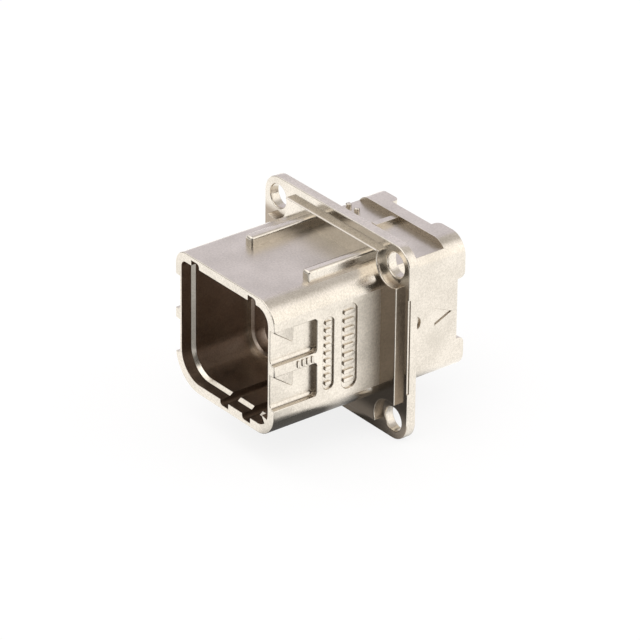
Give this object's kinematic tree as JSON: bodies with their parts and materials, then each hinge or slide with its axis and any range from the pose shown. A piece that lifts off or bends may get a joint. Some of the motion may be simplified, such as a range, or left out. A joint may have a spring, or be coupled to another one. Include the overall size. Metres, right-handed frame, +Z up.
{
  "type": "rectangular connector receptacle shell",
  "caption": "Cast rectangular receptacle shell with a panel flange, a keyed and stepped mouth for a plug, latch pockets in its side walls and a notched rear body for a contact insert.",
  "frame": {"origin": "centre of the flange's rear face, midway between the fixing holes", "axes": "+X across to the marked wall, -Y out of the mouth towards the plug, +Y to the rear, +Z up"},
  "size_m": [0.028, 0.0298, 0.026],
  "materials": {
    "shell": "satin nickel plate on a fine die-cast surface"
  },
  "bodies": {
    "root": {"shell": "shell"}
  },
  "joints": []
}
